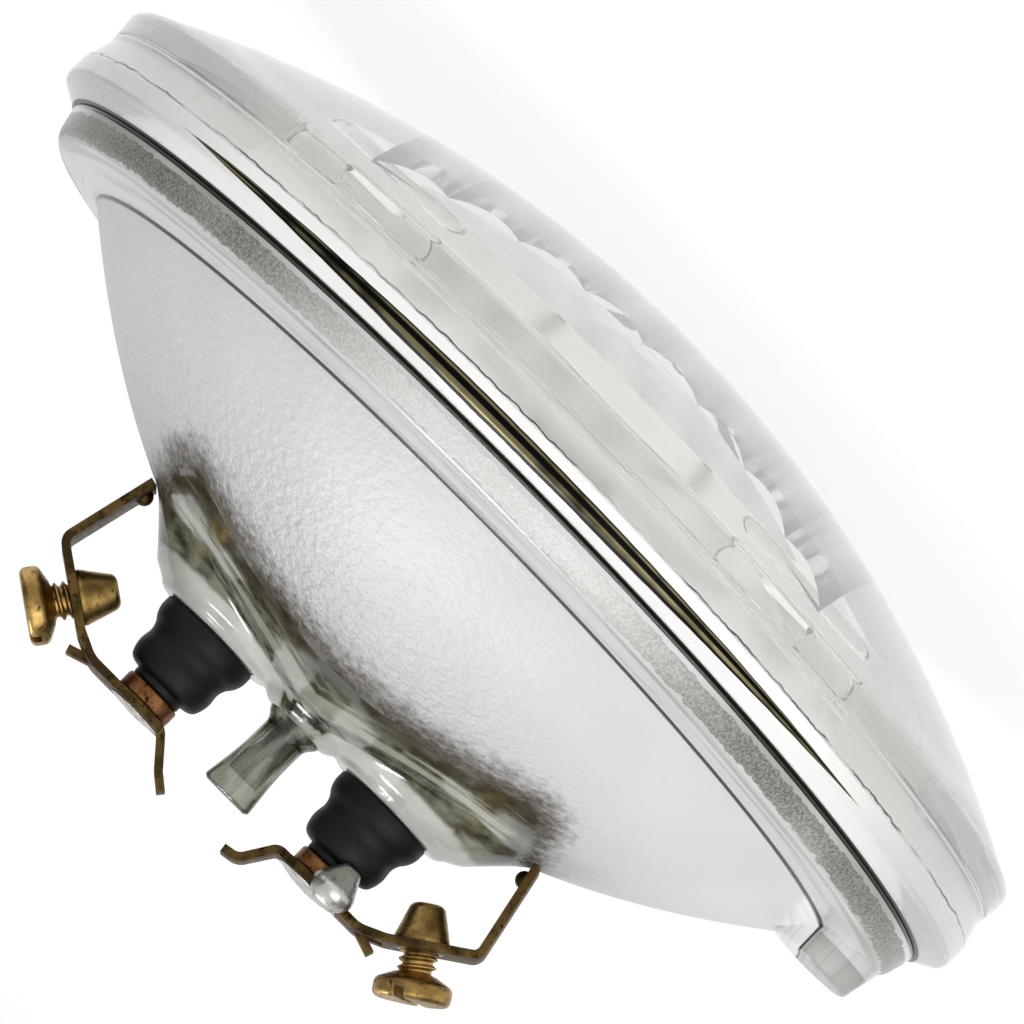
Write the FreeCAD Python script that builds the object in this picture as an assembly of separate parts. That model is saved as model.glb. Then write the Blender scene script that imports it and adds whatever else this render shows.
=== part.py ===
import FreeCAD, Part
import math
import os

# A sealed-beam spot lamp of the 4-1/2 inch size with two screw terminals.
# It stands on the middle of its domed lens, so the origin is the lens's lowest
# point and +Z runs along the lamp's axis towards the terminals. Millimetres.

os.makedirs("parts", exist_ok=True)

# Lens, a pressed glass cover
rim_radius = 56.35            # cylindrical land that the lamp's holder grips
land_rise = 8.94              # land's front end above the dome's edge
land_width = 2.1
bead_round = 0.9
dome_radius = 113.0           # outer face of the lens
shoulder_width = 5.95         # from the land in to the edge of the dome
shoulder_rise = 2.9
shoulder_round = 1.3
side_inset = 0.4              # rim side stands in from the land
groove_inset = 0.75           # shallow groove half-way up the rim side
groove_rise = 6.34            # above the dome's edge
groove_round = 9.0
lens_wall = 3.6
inner_draft = 1.6             # the lens's inner wall leans in by this

# Seam where lens and reflector are fused face to face
seam_rise = 12.54             # above the dome's edge
seam_inset = 2.65             # from the land in to the seam's outer edge

# Hollow flutes pressed into the lens's inner face, and long pads round its wall
flute_count = 8
flute_pitch = 6.8
flute_depth = 0.95
flute_half_length = 35.3
flute_end_slope = 22.0        # degrees at which a flute runs out at its ends
flute_cover = 1.0             # how far the flutes' cutter stands clear of the face
pad_length = 18.0
pad_width = 2.9
pad_height = 0.6
pad_root = 1.0                # how far a pad is rooted in the wall
pad_rise = 1.9                # middle of the pads, above the face's edge
pad_angles = (33, 90, 147, 213, 270, 327)

# Reflector, a pressed glass bowl
flange_inset = 0.8            # from the seam's outer edge in to the flange's rear edge
flange_depth = 3.2            # from the seam to the flange's rear edge
flange_round = 1.6
bowl_edge_inset = 6.3         # from the flange's rear edge in to the bowl
bowl_edge_rise = 0.9          # bowl's edge above the flange's rear edge
bowl_edge_round = 2.2
bowl_rise = 19.55             # outer face at the axis, above the bowl's edge
bowl_wall = 3.4

# Glass bosses round the two terminals, and the mound round the exhaust tube
terminal_offset = 11.1        # from the lamp's axis to each ferrule's axis
boss_rise = 0.8               # ferrule's seat above the bowl's outer face at the axis
boss_face_radius = 5.7
boss_crown_radius = 8.3
boss_crown_drop = 1.3
boss_crown_round = 2.2
boss_base_radius = 12.6
boss_base_drop = 5.8
mound_rise = 1.25
mound_radius = 3.1
mound_base_radius = 6.0
mound_round = 1.6
exhaust_hole_radius = 1.0
lead_hole_radius = 1.9

# Locating stud at the rim, with a flat rear face
stud_inset = 8.85             # from the land in to the stud's axis
stud_radius = 4.35
stud_rise = 3.97              # above the flange's rear edge
stud_base_radius = 5.7
stud_base_rise = 0.5          # above the seam
stud_edge_round = 0.5

# Exhaust tube, pinched off flat
tube_base_radius = 2.95
tube_radius = 2.2
tube_flare_height = 1.6
tube_straight = 3.6           # height where the pinch begins, from the mound
tube_length = 8.85
tube_tip_half_width = 2.65
tube_tip_half_depth = 1.15

# Ferrule, a drawn and blackened steel cup
ferrule_flange_radius = 5.2
ferrule_flange_height = 1.7
ferrule_groove_radius = 4.12
ferrule_groove_height = 3.0
ferrule_body_radius = 4.45
ferrule_body_height = 5.2
ferrule_shoulder_radius = 3.7
ferrule_shoulder_height = 6.5
ferrule_nose_radius = 2.65
ferrule_height = 7.25
ferrule_wall = 0.55

# Copper eyelet between ferrule and clip
eyelet_radius = 2.87
eyelet_height = 1.7
eyelet_round = 0.3

# Lead posts and filament, inside the glass
post_radius = 0.7
post_clearance = 0.05         # round the post in the eyelet, nose and clip
post_knee_depth = 11.65       # below the bowl's inner face at the axis
post_foot_depth = 24.65
post_spread = 4.2             # from the axis to each post's foot
filament_depth = 27.45        # the bowl's focus, below its inner face
filament_wire_radius = 0.25
filament_coil_radius = 0.95
filament_turns = 5
filament_end_gap = 0.05       # between the coil's tails and the posts

# Terminal clip, one bent brass strip
strip_thickness = 0.8
strip_width = 6.6
pad_radius = 4.0              # round pad over the eyelet
tail_tip_width = 3.0
right_tail = (3.0, 2.4, 2.7, 1.5, 1.2)
left_tail = (4.2, 2.0, 3.2, 1.6, 0.25)
plate_end = 17.0              # where the strip starts to lift
ease_run = 2.4                # gentle first bend
ease_drop = 1.1
corner_reach = 26.45          # outermost corner, from the axis
corner_drop = 5.95            # corner's height below the plate
foot_reach = 24.4             # where the leg meets the glass
foot_clearance = 0.15
screw_along = 5.3             # from the corner to the screw, on the strip
tang_width = 2.4
tang_length = 2.3
tang_lift = 0.75
tang_gap = 0.15
pip_radius = 0.85             # pip on the leg's inner side
pip_height = 1.35             # above the leg's end

# Screw bush, a turned brass nut with a tapered blind nose
spigot_radius = 2.15
spigot_clearance = 0.02
bush_radius = 2.55
bush_tip_radius = 1.5
bush_length = 3.6
bush_tip_round = 0.4
bush_land = 0.35
nose_bore_radius = 1.0
nose_wall = 0.5

# Terminal screw, backed out part of the way
shank_radius = 1.75
shank_clearance = 0.05
shank_length = 3.9            # from the shank's end to the head
shank_chamfer = 0.4
right_head_gap = 1.7          # bare shank between strip and head
left_head_gap = 2.1
head_radius = 3.6
head_cone = 0.8
head_thickness = 1.7
head_round = 0.55
slot_width = 0.95
slot_depth = 1.0
right_slot_angle = 25.0
left_slot_angle = 70.0

# Solder
right_cap = (3.3, 0.35)       # radius and height
left_cap = (3.85, 0.6)
blob_offset = 2.0             # from the ferrule's axis, outwards
blob_side = 3.6               # from the ferrule's axis, sideways
blob_radius = 2.6
blob_height = 3.0
blob_tip_radius = 0.9
blob_crown = 0.5              # beyond the pad's outer face
solder_clearance = 0.03

# Worked-out places
dome_edge_radius = rim_radius - shoulder_width
dome_edge_height = dome_radius - math.sqrt(dome_radius**2 - dome_edge_radius**2)
groove_height = dome_edge_height + groove_rise
land_start = dome_edge_height + land_rise
seam_height = dome_edge_height + seam_rise
flange_height = seam_height + flange_depth
bowl_edge_height = flange_height + bowl_edge_rise
bowl_height = bowl_edge_height + bowl_rise
seam_radius = rim_radius - seam_inset
flange_radius = seam_radius - flange_inset
bowl_edge_radius = flange_radius - bowl_edge_inset
boss_height = bowl_height + boss_rise
mound_height = bowl_height + mound_rise
stud_offset = rim_radius - stud_inset
side_radius = rim_radius - side_inset
groove_radius = rim_radius - groove_inset
inner_dome_radius = dome_radius - lens_wall
stud_height = flange_height + stud_rise
bowl_curve = bowl_rise / bowl_edge_radius**2
bowl_meet_radius = bowl_edge_radius - bowl_edge_round / 2
inner_bowl_height = bowl_height - bowl_wall
filament_height = inner_bowl_height - filament_depth
seam_inner_radius = math.sqrt((inner_bowl_height - seam_height) / bowl_curve)
eyelet_base = boss_height + ferrule_height
plate_inner = eyelet_base + eyelet_height
plate_outer = plate_inner + strip_thickness
plate_middle = plate_inner + strip_thickness / 2
corner_height = plate_middle - corner_drop
ease_end = (plate_end + ease_run, plate_middle - ease_drop)
rise_angle = math.atan2(ease_end[1] - corner_height, corner_reach - ease_end[0])
screw_point = (corner_reach - screw_along * math.cos(rise_angle),
               corner_height + screw_along * math.sin(rise_angle))


def vec(x, y, z):
    return FreeCAD.Vector(x, y, z)


def bowl_surface(radius):
    # Height of the bowl's outer face at a distance from the axis
    return bowl_height - bowl_curve * radius**2


def turn_at(before, corner, after):
    # Unit directions into and out of a corner, and the signed turn between them
    a = (corner - before).normalize()
    b = (after - corner).normalize()
    return a, b, math.atan2(a.x * b.z - a.z * b.x, a.x * b.x + a.z * b.z)


def rounded_edges(points, offset=0.0):
    # Lines with tangent arcs through (x, z, corner radius) in the XZ plane.
    # The chain can be shifted sideways, to its left, by an offset.
    corners = [vec(x, 0, z) for x, z, radius in points]
    edges = []
    start = None
    last = len(points) - 1
    for i, corner in enumerate(corners):
        if i in (0, last):
            along = corners[1] - corners[0] if i == 0 else corners[last] - corners[last - 1]
            along.normalize()
            enter = leave = corner + vec(-along.z, 0, along.x) * offset
            middle = None
        elif points[i][2] == 0:
            # a sharp corner, used only where the chain isn't shifted
            enter = leave = corner
            middle = None
        else:
            a, b, turn = turn_at(corners[i - 1], corner, corners[i + 1])
            side = 1.0 if turn > 0 else -1.0
            radius = points[i][2]
            reach = radius * math.tan(abs(turn) / 2)
            normal_a = vec(-a.z, 0, a.x)
            normal_b = vec(-b.z, 0, b.x)
            centre = corner - a * reach + normal_a * (side * radius)
            kept = radius - side * offset
            enter = centre - normal_a * (side * kept)
            leave = centre - normal_b * (side * kept)
            middle = centre - (normal_a + normal_b).normalize() * (side * kept)
        if start is not None and enter.distanceToPoint(start) > 1e-5:
            edges.append(Part.makeLine(start, enter))
        if middle is not None and enter.distanceToPoint(leave) > 1e-4:
            edges.append(Part.Arc(enter, middle, leave).toShape())
            start = leave
        else:
            start = enter
    return edges


def parabola_edge(height, radius):
    # Half of the bowl's parabola, from a distance out to the axis
    curve = Part.BezierCurve()
    edge_height = height - bowl_curve * radius**2
    curve.setPoles([vec(radius, 0, edge_height), vec(radius / 2, 0, height), vec(0, 0, height)])
    return curve.toShape()


def dome_edge(sphere_radius, radius):
    # Arc of a sphere centred on the dome's centre, from the axis out
    def point(r):
        return vec(r, 0, dome_radius - math.sqrt(sphere_radius**2 - r**2))
    return Part.Arc(point(0), point(radius / 2), point(radius)).toShape()


def spun(edges, centre=(0, 0)):
    # Solid of revolution from edges in the XZ plane, about an upright axis
    wire = Part.Wire(Part.__sortEdges__(edges))
    solid = Part.Face(wire).revolve(vec(0, 0, 0), vec(0, 0, 1), 360)
    solid.translate(vec(centre[0], centre[1], 0))
    return solid


def spun_outline(points, centre=(0, 0)):
    # Solid of revolution from a closed outline given as (x, z, corner radius)
    edges = rounded_edges(points)
    first = edges[0].Vertexes[0].Point
    start = vec(points[0][0], 0, points[0][1])
    end = vec(points[-1][0], 0, points[-1][1])
    if first.distanceToPoint(start) > 1e-6:
        edges.insert(0, Part.makeLine(start, first))
    edges.append(Part.makeLine(end, start))
    return spun(edges, centre)


def mirrored(shape):
    return shape.mirror(vec(0, 0, 0), vec(1, 0, 0))


def lens_flutes():
    # Cutter for hollow flutes side by side, swept along the dome. Their ends
    # run out on a drum that crosses the lens's inner face at a slope.
    half = flute_count * flute_pitch / 2
    top_radius = inner_dome_radius - flute_cover

    def on_arc(radius, x):
        return vec(x, 0, dome_radius - math.sqrt(radius**2 - x**2))

    edges = [Part.Arc(on_arc(top_radius, -half), on_arc(top_radius, 0),
                      on_arc(top_radius, half)).toShape()]
    edges.append(Part.makeLine(on_arc(top_radius, half), on_arc(inner_dome_radius, half)))
    for i in range(flute_count):
        right = half - i * flute_pitch
        left = right - flute_pitch
        bottom = on_arc(inner_dome_radius + flute_depth, (left + right) / 2)
        edges.append(Part.Arc(on_arc(inner_dome_radius, right), bottom,
                              on_arc(inner_dome_radius, left)).toShape())
    edges.append(Part.makeLine(on_arc(inner_dome_radius, -half), on_arc(top_radius, -half)))
    face = Part.Face(Part.Wire(edges))
    edge_slope = math.asin(flute_half_length / inner_dome_radius)
    sweep = 1.2 * math.degrees(edge_slope)
    face.rotate(vec(0, 0, dome_radius), vec(1, 0, 0), -sweep)
    cutter = face.revolve(vec(0, 0, dome_radius), vec(1, 0, 0), 2 * sweep)
    steep = edge_slope + math.radians(flute_end_slope)
    drum_radius = flute_half_length / math.sin(steep)
    edge_height = dome_radius - inner_dome_radius * math.cos(edge_slope)
    drum_height = edge_height + drum_radius * math.cos(steep)
    drum = Part.makeCylinder(drum_radius, 4 * half, vec(-2 * half, 0, drum_height), vec(1, 0, 0))
    return cutter.common(drum)


def lens_pads(wall_radius, floor_height):
    # Long round-ended pads on the lens's inner wall, just above its inner face
    pads = []
    straight = pad_length - pad_width
    sag = wall_radius - math.sqrt(wall_radius**2 - pad_length**2 / 4)
    depth = pad_root + pad_height + sag
    for angle in pad_angles:
        pad = Part.makeBox(straight, depth, pad_width, vec(-straight / 2, 0, -pad_width / 2))
        for end in (-straight / 2, straight / 2):
            pad = pad.fuse(Part.makeCylinder(pad_width / 2, depth, vec(end, 0, 0), vec(0, 1, 0)))
        pad.translate(vec(0, -wall_radius - pad_root, floor_height + pad_rise))
        pad = pad.removeSplitter().cut(Part.makeCylinder(wall_radius - pad_height, seam_height))
        pad.rotate(vec(0, 0, 0), vec(0, 0, 1), angle)
        pads.append(pad)
    return pads


def make_lens():
    inner_radius = seam_inner_radius - inner_draft
    inner_height = dome_radius - math.sqrt(inner_dome_radius**2 - inner_radius**2)
    rim = rounded_edges([
        (dome_edge_radius, dome_edge_height, 0),
        (side_radius, dome_edge_height + shoulder_rise, shoulder_round),
        (groove_radius, groove_height, groove_round),
        (rim_radius, land_start, bead_round),
        (rim_radius, land_start + land_width, bead_round),
        (seam_radius, seam_height, 0),
        (seam_inner_radius, seam_height, 0),
        (inner_radius, inner_height, 0)])
    inner = dome_edge(inner_dome_radius, inner_radius)
    axis = Part.makeLine(vec(0, 0, 0), vec(0, 0, lens_wall))
    lens = spun(rim + [inner, axis, dome_edge(dome_radius, dome_edge_radius)])
    lens = lens.fuse(lens_pads(inner_radius, inner_height))
    return lens.cut(lens_flutes()).removeSplitter()


def glass_boss(side):
    # Raised glass round one ferrule, sloping down onto the bowl
    return spun_outline([
        (0, bowl_edge_height, 0),
        (boss_base_radius, bowl_edge_height, 0),
        (boss_base_radius, boss_height - boss_base_drop, 0),
        (boss_crown_radius, boss_height - boss_crown_drop, boss_crown_round),
        (boss_face_radius, boss_height, boss_crown_round),
        (0, boss_height, 0)], (side * terminal_offset, 0))


def exhaust_mound():
    return spun_outline([
        (0, inner_bowl_height, 0),
        (mound_base_radius, inner_bowl_height, 0),
        (mound_base_radius, bowl_surface(mound_base_radius), 0),
        (mound_radius, mound_height, mound_round),
        (0, mound_height, 0)])


def locating_stud():
    # Tapered round stud at the rim, flat at its end
    return spun_outline([
        (0, seam_height + stud_base_rise, 0),
        (stud_base_radius, seam_height + stud_base_rise, 0),
        (stud_radius, stud_height, stud_edge_round),
        (0, stud_height, 0)], (-stud_offset, 0))


def make_reflector():
    rim = rounded_edges([
        (seam_inner_radius, seam_height, 0),
        (seam_radius, seam_height, 0),
        (flange_radius, flange_height, flange_round),
        (bowl_edge_radius, bowl_edge_height, bowl_edge_round),
        (bowl_meet_radius, bowl_surface(bowl_meet_radius), 0)])
    outer = parabola_edge(bowl_height, bowl_meet_radius)
    axis = Part.makeLine(vec(0, 0, bowl_height), vec(0, 0, seam_height))
    floor = Part.makeLine(vec(0, 0, seam_height), vec(seam_inner_radius, 0, seam_height))
    glass = spun(rim + [outer, axis, floor])
    glass = glass.fuse([glass_boss(1), glass_boss(-1), exhaust_mound(), locating_stud()])
    inner = parabola_edge(inner_bowl_height, seam_inner_radius)
    inner_axis = Part.makeLine(vec(0, 0, inner_bowl_height), vec(0, 0, seam_height))
    hollow = spun([inner, inner_axis, floor])
    bores = [Part.makeCylinder(exhaust_hole_radius, mound_height, vec(0, 0, seam_height))]
    for side in (1, -1):
        bores.append(Part.makeCylinder(lead_hole_radius, boss_height,
                                       vec(side * terminal_offset, 0, seam_height)))
    return glass.cut([hollow] + bores).removeSplitter()


def make_exhaust_tube():
    # Round tube with a flared foot that runs out to a flat pinched tip
    sections = []
    pinch = tube_length - tube_straight
    rounds = [
        (0, tube_base_radius),
        (tube_flare_height / 3, (tube_base_radius + 2 * tube_radius) / 3),
        (tube_flare_height, tube_radius),
        (tube_straight, tube_radius)]
    for height, radius in rounds:
        sections.append(Part.Wire([Part.makeCircle(radius, vec(0, 0, height))]))
    for share in (0.5, 1):
        height = tube_straight + share * pinch
        wide = tube_radius + share * (tube_tip_half_width - tube_radius)
        deep = tube_radius + share * (tube_tip_half_depth - tube_radius)
        curve = Part.Ellipse(vec(wide, 0, height), vec(0, deep, height), vec(0, 0, height))
        sections.append(Part.Wire([curve.toShape()]))
    tube = Part.makeLoft(sections, True)
    tube = tube.cut(Part.makeCylinder(exhaust_hole_radius, tube_straight))
    tube.translate(vec(0, 0, mound_height))
    return tube


def make_ferrule():
    bore = post_radius + post_clearance
    cup = spun_outline([
        (bore, ferrule_height, 0),
        (bore, ferrule_shoulder_height - ferrule_wall, 0),
        (ferrule_groove_radius - ferrule_wall, ferrule_shoulder_height - ferrule_wall, 0.3),
        (ferrule_groove_radius - ferrule_wall, 0, 0),
        (ferrule_flange_radius, 0, 0),
        (ferrule_flange_radius, ferrule_flange_height, 0.5),
        (ferrule_groove_radius, ferrule_groove_height, 0.5),
        (ferrule_body_radius, ferrule_body_height, 0.8),
        (ferrule_shoulder_radius, ferrule_shoulder_height, 0.4),
        (ferrule_nose_radius, ferrule_shoulder_height, 0),
        (ferrule_nose_radius, ferrule_height, 0)], (terminal_offset, 0))
    cup.translate(vec(0, 0, boss_height))
    return cup


def make_eyelet():
    bore = post_radius + post_clearance
    ring = spun_outline([
        (bore, 0, 0),
        (eyelet_radius, 0, eyelet_round),
        (eyelet_radius, eyelet_height, eyelet_round),
        (bore, eyelet_height, 0)], (terminal_offset, 0))
    ring.translate(vec(0, 0, eyelet_base))
    return ring


def make_lead_post():
    # Stout wire from the clip, through the ferrule, to the filament
    bend = 3.0 * post_radius
    path = rounded_edges([
        (terminal_offset, plate_outer, 0),
        (terminal_offset, inner_bowl_height - post_knee_depth, bend),
        (post_spread, inner_bowl_height - post_foot_depth, bend),
        (post_spread, filament_height, 0)])
    ring = Part.Wire([Part.makeCircle(post_radius, vec(terminal_offset, 0, plate_outer))])
    return Part.Wire(path).makePipeShell([ring], True, False)


def make_filament():
    # Coiled wire lying across the axis between the two posts
    reach = post_spread - post_radius - filament_end_gap - filament_wire_radius
    coil_length = 2 * reach
    pitch = coil_length / filament_turns
    helix = Part.makeHelix(pitch, coil_length, filament_coil_radius)
    start = vec(filament_coil_radius, 0, 0)
    slope = vec(0, 2 * math.pi * filament_coil_radius, pitch)
    ring = Part.Wire([Part.makeCircle(filament_wire_radius, start, slope)])
    coil = Part.Wire(helix.Edges).makePipeShell([ring], True, True)
    coil.rotate(vec(0, 0, 0), vec(0, 1, 0), 90)
    rise = filament_coil_radius + post_radius
    coil.translate(vec(-coil_length / 2, 0, filament_height + rise))
    return coil


def screw_placement():
    # Puts a piece made about a local upright axis onto the strip's rise
    turn = FreeCAD.Rotation(vec(0, 1, 0), math.degrees(rise_angle))
    return FreeCAD.Placement(vec(screw_point[0], 0, screw_point[1]), turn)


def strip_face(points):
    # Side view of a bent strip whose middle line runs through the points
    left = rounded_edges(points, strip_thickness / 2)
    right = rounded_edges(points, -strip_thickness / 2)
    side_ends = []
    for edges in (left, right):
        chain = Part.Wire(edges).OrderedVertexes
        side_ends.append((chain[0].Point, chain[-1].Point))
    caps = [Part.makeLine(a, b) for a, b in zip(side_ends[0], side_ends[1])]
    return Part.Face(Part.Wire(Part.__sortEdges__(left + right + caps)))


def extruded_strip(points, width):
    strip = strip_face(points).extrude(vec(0, width, 0))
    strip.translate(vec(0, -width / 2, 0))
    return strip


def tail_points(tail):
    # Free end of the clip: start, run, fall, and run and fall of its curl
    start, run, fall, curl_run, curl_fall = tail
    x = terminal_offset - start
    return [
        (x - run - curl_run, plate_middle + fall + curl_fall, 0),
        (x - run, plate_middle + fall, 1.4),
        (x, plate_middle, 1.0)]


def make_clip(tail):
    foot_height = bowl_surface(foot_reach - strip_thickness / 2) + foot_clearance
    points = tail_points(tail) + [
        (plate_end, plate_middle, 3.0),
        (ease_end[0], ease_end[1], 4.0),
        (corner_reach, corner_height, 1.0),
        (foot_reach, foot_height, 0)]
    blank = extruded_strip(points, 2 * pad_radius)
    tip = points[0][0] - strip_thickness
    tall = points[0][1] + strip_thickness
    half = strip_width / 2
    outline = Part.makePolygon([
        vec(tip, -tail_tip_width / 2, 0),
        vec(terminal_offset, -half, 0),
        vec(rim_radius, -half, 0),
        vec(rim_radius, half, 0),
        vec(terminal_offset, half, 0),
        vec(tip, tail_tip_width / 2, 0),
        vec(tip, -tail_tip_width / 2, 0)])
    plan = Part.Face(outline).extrude(vec(0, 0, tall))
    plan = plan.fuse(Part.makeCylinder(pad_radius, tall, vec(terminal_offset, 0, 0)))
    clip = blank.common(plan)
    slot_width_y = tang_width + 2 * tang_gap
    slot = Part.makeBox(tang_length, slot_width_y, tall,
                        vec(plate_end + tang_gap, -slot_width_y / 2, 0))
    post_hole = Part.makeCylinder(post_radius + post_clearance, tall,
                                  vec(terminal_offset, 0, corner_height))
    screw_hole = Part.makeCylinder(spigot_radius + spigot_clearance, 4 * strip_thickness,
                                   vec(0, 0, -2 * strip_thickness))
    screw_hole.Placement = screw_placement().multiply(screw_hole.Placement)
    clip = clip.cut([slot, post_hole, screw_hole])
    tang = extruded_strip([
        (plate_end - 2 * strip_thickness, plate_middle, 0),
        (plate_end, plate_middle, 1.0),
        (plate_end + tang_length, plate_middle + tang_lift, 0)], tang_width)
    leg_share = pip_height / (corner_height - foot_height)
    pip_x = foot_reach + leg_share * (corner_reach - foot_reach) - strip_thickness / 2
    pip = Part.makeSphere(pip_radius, vec(pip_x, 0, foot_height + pip_height))
    return clip.fuse([tang, pip]).removeSplitter()


def make_bush():
    # Turned nut seated on the strip's inner face, spigot through its hole
    inner_face = -strip_thickness / 2
    bore = shank_radius + shank_clearance
    bore_depth = shank_length - right_head_gap - strip_thickness + shank_clearance
    tip = inner_face - bush_length
    bush = spun_outline([
        (bore, -inner_face, 0),
        (spigot_radius, -inner_face, 0),
        (spigot_radius, inner_face, 0),
        (bush_radius, inner_face, 0),
        (bush_radius, inner_face - bush_land, 0),
        (bush_tip_radius, tip, bush_tip_round),
        (0, tip, 0),
        (0, tip + nose_wall, 0),
        (nose_bore_radius, tip + nose_wall, 0),
        (bore, inner_face - bore_depth, 0)])
    bush.Placement = screw_placement()
    return bush


def make_screw(head_gap, slot_angle):
    # Slotted binding-head screw, about the bush's axis
    seat = strip_thickness / 2 + head_gap
    edge = seat + head_cone
    top = edge + head_thickness
    screw = spun_outline([
        (0, seat - shank_length, 0),
        (shank_radius, seat - shank_length, shank_chamfer),
        (shank_radius, seat, 0),
        (head_radius, edge, head_round / 2),
        (head_radius, top, head_round),
        (0, top, 0)])
    slot = Part.makeBox(2 * head_radius, slot_width, slot_depth,
                        vec(-head_radius, -slot_width / 2, top - slot_depth))
    slot.rotate(vec(0, 0, 0), vec(0, 0, 1), slot_angle)
    screw = screw.cut(slot)
    screw.Placement = screw_placement()
    return screw


def solder_cap(radius, height):
    # Shallow dome over the post's end on the clip's outer face
    ball = (radius**2 + height**2) / (2 * height)
    rise = math.sqrt(ball**2 - radius**2 / 4) - ball + height
    cap = spun([
        Part.Arc(vec(radius, 0, 0), vec(radius / 2, 0, rise), vec(0, 0, height)).toShape(),
        Part.makeLine(vec(0, 0, height), vec(0, 0, 0)),
        Part.makeLine(vec(0, 0, 0), vec(radius, 0, 0))])
    cap.translate(vec(terminal_offset, 0, plate_outer))
    return cap


def solder_blob(clip, ferrule):
    # Big drop that wraps the pad's edge and runs up against the ferrule
    drop = spun_outline([
        (0, -blob_height, 0),
        (blob_tip_radius, -blob_height, blob_tip_radius / 2),
        (blob_radius, 0, blob_radius / 2),
        (blob_radius / 2, strip_thickness + blob_crown, blob_radius / 3),
        (0, strip_thickness + blob_crown, 0)], (terminal_offset + blob_offset, -blob_side))
    drop.translate(vec(0, 0, plate_inner))
    core = Part.makeCylinder(eyelet_radius + solder_clearance,
                             ferrule_height - ferrule_shoulder_height + eyelet_height,
                             vec(terminal_offset, 0, boss_height + ferrule_shoulder_height))
    return drop.fuse(solder_cap(*left_cap)).cut([clip, ferrule, core]).removeSplitter()


def save(name, shape):
    if not shape.isValid():
        print("not valid:", name)
    print(name, "solids", len(shape.Solids), "volume", round(shape.Volume, 2))
    shape.exportStep("parts/" + name + ".step")


def make_lamp():
    save("lens", make_lens())
    save("reflector", make_reflector())
    save("exhaust_tube", make_exhaust_tube())
    save("filament", make_filament())
    ferrule = make_ferrule()
    eyelet = make_eyelet()
    post = make_lead_post()
    bush = make_bush()
    right_clip = make_clip(right_tail)
    left_clip = make_clip(left_tail)
    pieces = {
        "right_ferrule": ferrule,
        "right_eyelet": eyelet,
        "right_lead_post": post,
        "right_clip": right_clip,
        "right_bush": bush,
        "right_screw": make_screw(right_head_gap, right_slot_angle),
        "right_solder": solder_cap(*right_cap).cut(right_clip),
        "left_ferrule": mirrored(ferrule),
        "left_eyelet": mirrored(eyelet),
        "left_lead_post": mirrored(post),
        "left_clip": mirrored(left_clip),
        "left_bush": mirrored(bush),
        "left_screw": mirrored(make_screw(left_head_gap, left_slot_angle)),
        "left_solder": mirrored(solder_blob(left_clip, ferrule))}
    for name, shape in pieces.items():
        save(name, shape)


make_lamp()
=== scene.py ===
import math
import bpy
import bmesh
from mathutils import Matrix, Vector


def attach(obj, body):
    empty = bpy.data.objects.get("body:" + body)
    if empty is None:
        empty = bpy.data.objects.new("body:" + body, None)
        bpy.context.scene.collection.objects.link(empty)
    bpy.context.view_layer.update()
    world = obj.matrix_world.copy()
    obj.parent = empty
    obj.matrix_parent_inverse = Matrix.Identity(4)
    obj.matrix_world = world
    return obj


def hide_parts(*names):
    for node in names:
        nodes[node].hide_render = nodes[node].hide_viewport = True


# Sealed-beam spot lamp standing on its lens. Sizes in the settings are in millimetres.

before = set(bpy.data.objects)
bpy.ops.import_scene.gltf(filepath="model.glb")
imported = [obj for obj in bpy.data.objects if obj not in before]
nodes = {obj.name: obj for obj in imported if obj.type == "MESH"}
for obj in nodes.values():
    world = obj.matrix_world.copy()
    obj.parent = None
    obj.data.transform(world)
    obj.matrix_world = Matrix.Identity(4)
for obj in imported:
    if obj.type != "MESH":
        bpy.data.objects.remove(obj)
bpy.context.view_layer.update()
mm = 0.001
sharpAngle = 35                 # degrees; edges sharper than this stay hard
glassIor = 1.5

# shader nodes

modeOf = {"Math": "operation", "VectorMath": "operation", "MapRange": "interpolation_type",
          "Mix": "data_type"}


def linear(code):
    # one sRGB hex value to the linear colour that the shaders want
    parts = [int(code[i:i + 2], 16) / 255 for i in (1, 3, 5)]
    return [c / 12.92 if c <= 0.04045 else ((c + 0.055) / 1.055) ** 2.4 for c in parts] + [1.0]


def feed(tree, socket, value):
    # a node gives its first output, a socket is linked, None leaves the input alone
    if isinstance(value, bpy.types.Node):
        value = next(s for s in value.outputs if s.enabled)
    if isinstance(value, bpy.types.NodeSocket):
        tree.links.new(value, socket)
    elif value is not None:
        socket.default_value = value


def addNode(tree, kind, *inputs):
    # a node type, with its mode where it has one, and its inputs in the order of its sockets
    kind, _, mode = kind.partition(" ")
    made = tree.nodes.new("ShaderNode" + kind)
    if mode:
        setattr(made, modeOf[kind], mode)
    for socket, value in zip([s for s in made.inputs if s.enabled], inputs):
        feed(tree, socket, value)
    return made


def blotch(millimetres):
    # noise scale whose blotches are about that wide
    return 0.6 / (millimetres * mm)


def polar(tree, place):
    # distance from the lamp's axis, and the three coordinates
    axes = addNode(tree, "SeparateXYZ", place).outputs
    flat = addNode(tree, "CombineXYZ", axes["X"], axes["Y"])
    return addNode(tree, "VectorMath LENGTH", flat), axes["X"], axes["Y"], axes["Z"]


def between(tree, value, low, high, soft):
    # 1 inside a range, in millimetres, with soft ends
    rising = addNode(tree, "MapRange SMOOTHSTEP", value, (low - soft) * mm, (low + soft) * mm)
    falling = addNode(tree, "MapRange SMOOTHSTEP", value, (high - soft) * mm, (high + soft) * mm,
                      1.0, 0.0)
    return addNode(tree, "Math MULTIPLY", rising, falling)


def roughened(tree, value, place, width, amount, detail):
    # a value in metres that noise shifts by up to half that many millimetres each way
    noise = addNode(tree, "TexNoise", place, blotch(width), detail, 0.6)
    shift = addNode(tree, "Math MULTIPLY_ADD", noise, amount * mm, -amount / 2 * mm)
    return addNode(tree, "Math ADD", value, shift)


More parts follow.
